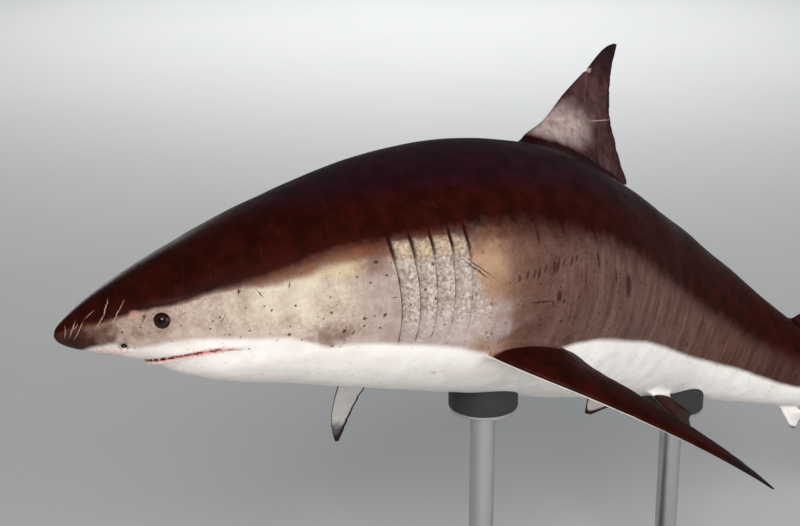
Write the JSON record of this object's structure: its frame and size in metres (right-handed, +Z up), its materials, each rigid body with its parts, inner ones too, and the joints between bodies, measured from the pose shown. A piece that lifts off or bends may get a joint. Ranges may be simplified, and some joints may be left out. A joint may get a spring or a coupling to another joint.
{
  "type": "great white shark",
  "caption": "Life-size great white shark, whole animal with arched back and curved tail, mouth slightly open, held still above a flat display base by short rods.",
  "frame": {"origin": "centre of the stand base's underside, under the middle of the animal's weight", "axes": "+Z up; +X from the head towards the tail; +Y to the shark's right side"},
  "size_m": [3.92, 1.5318, 2.1691],
  "materials": {
    "skin_head": "wet satin shark skin, dark brown above and white below",
    "skin_jaw": "wet satin white skin",
    "skin_gills": "wet satin skin with fine mottling",
    "skin_trunk": "wet satin shark skin, dark brown above and white below",
    "skin_fins": "wet satin shark skin",
    "eye": "glossy near-black eye",
    "stand_base": "satin powder-coated steel",
    "stand_rod": "brushed stainless steel tube",
    "stand_pad": "matte black rubber"
  },
  "bodies": {
    "root": {"head": "skin_head", "lower_jaw": "skin_jaw", "gill_region": "skin_gills", "trunk_front": "skin_trunk", "trunk_rear": "skin_trunk", "tail_stalk": "skin_trunk", "eye_left": "eye", "eye_right": "eye", "first_dorsal_fin": "skin_fins", "second_dorsal_fin": "skin_fins", "anal_fin": "skin_fins", "caudal_upper_lobe": "skin_fins", "caudal_lower_lobe": "skin_fins", "pectoral_fin_left": "skin_fins", "pectoral_fin_right": "skin_fins", "pelvic_fin_left": "skin_fins", "pelvic_fin_right": "skin_fins", "stand_base": "stand_base", "stand_rod_front": "stand_rod", "stand_rod_rear": "stand_rod", "stand_saddle_front": "stand_pad", "stand_saddle_rear": "stand_pad"}
  },
  "joints": []
}
